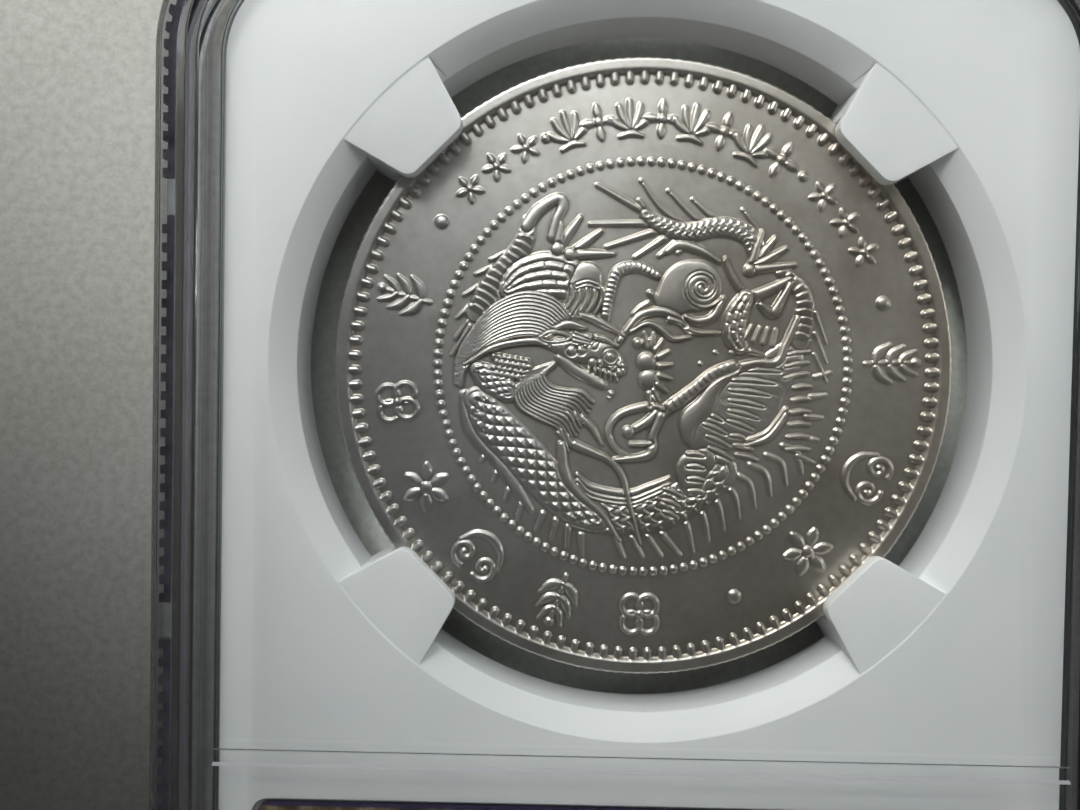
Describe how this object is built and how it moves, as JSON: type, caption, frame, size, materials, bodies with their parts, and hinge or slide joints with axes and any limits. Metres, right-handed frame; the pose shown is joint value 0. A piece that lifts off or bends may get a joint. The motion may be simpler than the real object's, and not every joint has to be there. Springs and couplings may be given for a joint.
{
  "type": "graded coin slab",
  "caption": "Clear welded rectangular holder with raised rims, a white ring insert with gripping prongs, a crown-size silver coin and a label window at one end.",
  "frame": {"origin": "centre of the bounding box on the plane that the back rim rests on", "axes": "+Z out of the front window, +Y toward the label end, +X to the right of a reader who has the label end up"},
  "size_m": [0.0582, 0.0838, 0.0086],
  "materials": {
    "front_shell": "clear, polished, lightly scuffed",
    "back_shell": "clear, polished, lightly scuffed",
    "coin_insert": "soft satin white",
    "coin": "satin silver, struck relief, reeded edge",
    "front_label": "printed card with a dark border",
    "back_label": "printed card",
    "security_seal": "diffractive foil",
    "weld_bead_side_label_right": "melted, dark by total reflection",
    "weld_bead_corner_label_right": "melted, dark by total reflection",
    "weld_bead_side_label_left": "melted, dark by total reflection",
    "weld_bead_corner_label_left": "melted, dark by total reflection",
    "weld_bead_side_coin_left": "melted, dark by total reflection",
    "weld_bead_corner_coin_left": "melted, dark by total reflection",
    "weld_bead_side_coin_right": "melted, dark by total reflection",
    "weld_bead_corner_coin_right": "melted, dark by total reflection"
  },
  "bodies": {
    "root": {"front_shell": "front_shell", "back_shell": "back_shell", "coin_insert": "coin_insert", "coin": "coin", "front_label": "front_label", "back_label": "back_label", "security_seal": "security_seal", "weld_bead_side_label_right": "weld_bead_side_label_right", "weld_bead_corner_label_right": "weld_bead_corner_label_right", "weld_bead_side_label_left": "weld_bead_side_label_left", "weld_bead_corner_label_left": "weld_bead_corner_label_left", "weld_bead_side_coin_left": "weld_bead_side_coin_left", "weld_bead_corner_coin_left": "weld_bead_corner_coin_left", "weld_bead_side_coin_right": "weld_bead_side_coin_right", "weld_bead_corner_coin_right": "weld_bead_corner_coin_right"}
  },
  "joints": []
}
